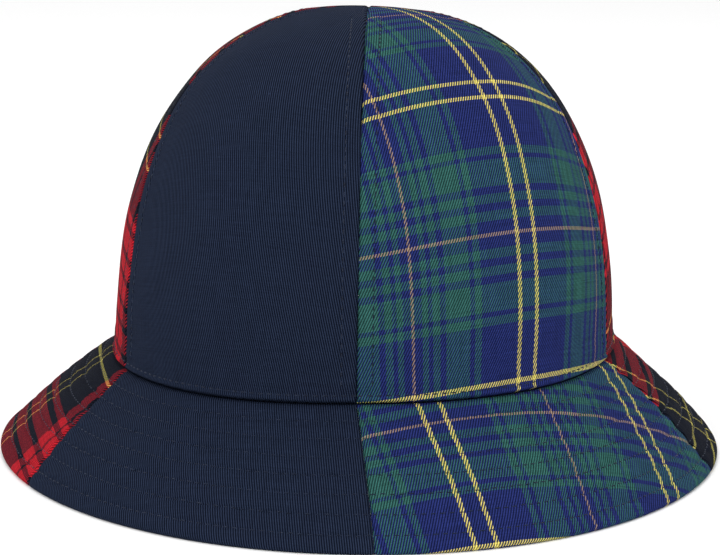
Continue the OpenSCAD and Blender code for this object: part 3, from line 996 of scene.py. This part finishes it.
def sweatband_strip():
    """One strip of twill tape with soft folded edges, butted at the back seam."""
    columns = np.linspace(-179.93, 179.93, 361)
    low, high = SWEATBAND_HEIGHTS
    heights = low + graded(high - low, 0.35, 1.4, 2.5)
    t, height = grid(columns, heights)
    q = angle_at_height(height)
    around = np.radians(t) * CROWN_HALF_WIDTH
    edge = np.minimum(height - low, high - height)
    rounding = 0.42 * (1 - step(edge, 0.0, 0.9))
    row = bell(height, SWEATBAND_ROW_HEIGHT, 0.5)
    wave = np.sin(around * 0.8 + np.sin(around / 11.0))
    pucker = 0.1 * wave * bell(height, SWEATBAND_ROW_HEIGHT, 3.0)
    slack = 0.18 * (1 + waves(crown_point(t, q), 30.0, 47)) * step(height, 10.0, 30.0)
    depth = SWEATBAND[1] - rounding - 0.25 * row + pucker + slack + 0.22 * (1 - step(edge, 2.4, 3.4))
    normal = crown_normal(t, q)
    face = crown_point(t, q) - column(SWEATBAND[0] + 0.4 * (1 - step(edge, 0.0, 0.7))) * normal
    back = crown_point(t, q) - column(depth) * normal
    middle = crown_inside(t[:, 0], q[:, 0], sum(SWEATBAND) / 2)
    across = np.linalg.norm(np.diff(middle, axis=0), axis=-1)
    length = np.concatenate([[0.0], np.cumsum(across)])
    cloth = np.stack(np.broadcast_arrays(length[:, None], height), axis=-1)
    piece = shell("sweatband_tape", face, back, cloth)
    place(piece, "sweatband", "sweatband")
    return piece


def label_tab():
    """A small blank label with rounded corners, sewn by its ends inside the back of the sweatband."""
    low, high = LABEL_HEIGHTS
    columns = 180 + LABEL_HALF_ANGLE * np.linspace(-1, 1, 41)
    t, height = grid(columns, np.linspace(low, high, 31))
    q = angle_at_height(height)
    side = abs(t - 180) / LABEL_HALF_ANGLE
    end = abs(height - (low + high) / 2) / ((high - low) / 2)
    curl = 0.25 * side**6 + 0.12 * end**6
    swell = 0.12 * np.cos(np.pi * (height - low) / (high - low) * 2)
    normal = crown_normal(t, q)
    face = crown_point(t, q) - column(LABEL[0] + 0.35 + curl) * normal
    back = crown_point(t, q) - column(LABEL[1] + 0.35 + curl + swell * (1 - side)) * normal
    across = np.radians(t - 180) * CROWN_HALF_LENGTH
    cloth = np.stack([across, height], axis=-1)
    piece = shell("care_label_tab", face, back, cloth)
    place(piece, "label", "care_label")
    return piece


# ---------------------------------------------------------------- stitched rows


def seam_rows(seam):
    """The two rows of topstitching beside one crown seam."""
    rows = []
    first = angle_at_height(2 * BASE_STITCH_HEIGHT)
    q = angle_at_length(np.linspace(wall_length(first), wall_length(SEAM_STITCH_TOP), 400))
    for side in (-1, 1):
        radius = turning_radius(seam, q)
        t = seam + side * 2 * np.degrees(np.arcsin(SEAM_STITCH_OFFSET / 2 / radius))
        normal = crown_normal(t, q)
        rows.append((crown_point(t, q) + column(crown_relief(t, q)) * normal, normal))
    return rows


def base_row():
    t = ALL_ROUND
    q = np.full_like(t, angle_at_length(BASE_STITCH_HEIGHT))
    normal = crown_normal(t, q)
    return [(crown_point(t, q) + column(crown_relief(t, q)) * normal, normal)]


def brim_rows():
    """Every row round the brim, on its upper face and on its underside."""
    rows = []
    for row in range(1, BRIM_ROWS + 1):
        w = np.full_like(ALL_ROUND, row * BRIM_ROW_SPACING / BRIM_WIDTH)
        normal = brim_normal(ALL_ROUND, w)
        relief = column(brim_relief(ALL_ROUND, w, UPPER_SIDE))
        rows.append((brim_point(ALL_ROUND, w) + relief * normal, normal))
        if w[0] < UNDERBRIM_WIDTH - 0.01:
            lower = column(brim_relief(ALL_ROUND, w, UNDERSIDE) * UNDERBRIM_RELIEF)
            rows.append((underbrim_face(ALL_ROUND, w, UNDERBRIM[1]) - lower * normal, -normal))
    return rows


def inner_row(height, depth):
    """A row inside the crown, at a height above the brim seam and a depth in from the cloth."""
    q = np.full_like(ALL_ROUND, angle_at_height(height))
    normal = crown_normal(ALL_ROUND, q)
    return [(crown_point(ALL_ROUND, q) - depth * normal, -normal)]


# ---------------------------------------------------------------- building the hat

crown_pieces = {name: crown_panel(name) for name in PANELS}
lining_pieces = {name: lining_panel(name) for name in PANELS}
brim_pieces = {name: brim_panel(name) for name in PANELS}
underbrim_pieces = {name: underbrim_panel(name) for name in PANELS}
stiffener, stiffener_flat = stiffener_ring()
sweatband_strip()
label_tab()

for seam_name, seam_angle in zip(("front", "left", "back", "right"), SEAMS):
    thread = stitches(f"{seam_name}_seam_thread", seam_rows(seam_angle))
    place(thread, "thread", f"{seam_name}_seam_stitching")
place(stitches("crown_base_thread", base_row()), "thread", "crown_base_stitching")
place(stitches("brim_thread", brim_rows()), "thread", "brim_stitching")
head_seam_row = inner_row(HEAD_SEAM_HEIGHT, HEAD_SEAM_DEPTH)
place(stitches("head_seam_thread", head_seam_row), "thread", "head_seam_stitching")
sweatband_row = inner_row(SWEATBAND_ROW_HEIGHT, SWEATBAND_ROW_DEPTH)
place(stitches("sweatband_thread", sweatband_row), "thread", "sweatband_stitching")


# ---------------------------------------------------------------- stage, light and camera

FLOOR_HALF = 6.0
WORLD_LIGHT = 0.95
LIGHTS_AIM = (0, 0, 0.06)

floor_mesh = bpy.data.meshes.new("floor")
floor_corners = [
    (side * FLOOR_HALF, end * FLOOR_HALF, 0) for side, end in ((-1, -1), (1, -1), (1, 1), (-1, 1))
]
floor_mesh.from_pydata(floor_corners, [], [(0, 1, 2, 3)])
floor = bpy.data.objects.new("floor", floor_mesh)
bpy.context.scene.collection.objects.link(floor)
floor_material = bpy.data.materials.new("floor_white")
floor_material.use_nodes = True
floor_surface = floor_material.node_tree.nodes["Principled BSDF"]
floor_surface.inputs["Base Color"].default_value = (0.93, 0.93, 0.93, 1.0)
floor_surface.inputs["Roughness"].default_value = 0.9
floor_surface.inputs["Specular IOR Level"].default_value = 0.1
floor_mesh.materials.append(floor_material)

world = bpy.data.worlds.new("studio")
bpy.context.scene.world = world
world.use_nodes = True
backdrop = world.node_tree.nodes["Background"]
backdrop.inputs["Color"].default_value = (1.0, 1.0, 1.0, 1.0)
backdrop.inputs["Strength"].default_value = WORLD_LIGHT


def softbox(name, place_at, size, power):
    """A square area light that faces the hat."""
    lamp = bpy.data.lights.new(name, "AREA")
    lamp.shape = "SQUARE"
    lamp.size = size
    lamp.energy = power
    holder = bpy.data.objects.new(name, lamp)
    holder.location = place_at
    holder.rotation_euler = (Vector(LIGHTS_AIM) - Vector(place_at)).to_track_quat("-Z", "Y").to_euler()
    bpy.context.scene.collection.objects.link(holder)


softbox("key", (-0.9, -1.5, 1.5), size=1.0, power=12.0)
softbox("fill", (1.4, -1.2, 0.9), size=1.2, power=5.0)
softbox("top", (0.0, 0.5, 1.9), size=1.4, power=8.0)

CAMERA_DISTANCE = 0.9
CAMERA_ELEVATION = 10.86
CAMERA_YAW = 1.27
CAMERA_ROLL = 0.7
CAMERA_LENS = 124.5
CAMERA_AIM = Vector((-0.0002, 0.0, 0.06186))

camera_data = bpy.data.cameras.new("camera")
camera_data.sensor_width = 36.0
camera_data.lens = CAMERA_LENS
camera = bpy.data.objects.new("camera", camera_data)
bpy.context.scene.collection.objects.link(camera)
yaw, elevation = math.radians(CAMERA_YAW), math.radians(CAMERA_ELEVATION)
level = math.cos(elevation)
backward = Vector((math.sin(yaw) * level, -math.cos(yaw) * level, math.sin(elevation)))
camera.location = CAMERA_AIM + backward * CAMERA_DISTANCE
camera.rotation_mode = "QUATERNION"
camera.rotation_quaternion = (
    Quaternion(backward, math.radians(CAMERA_ROLL)) @ (-backward).to_track_quat("-Z", "Y")
)
bpy.context.scene.camera = camera
bpy.context.scene.view_settings.view_transform = "Standard"
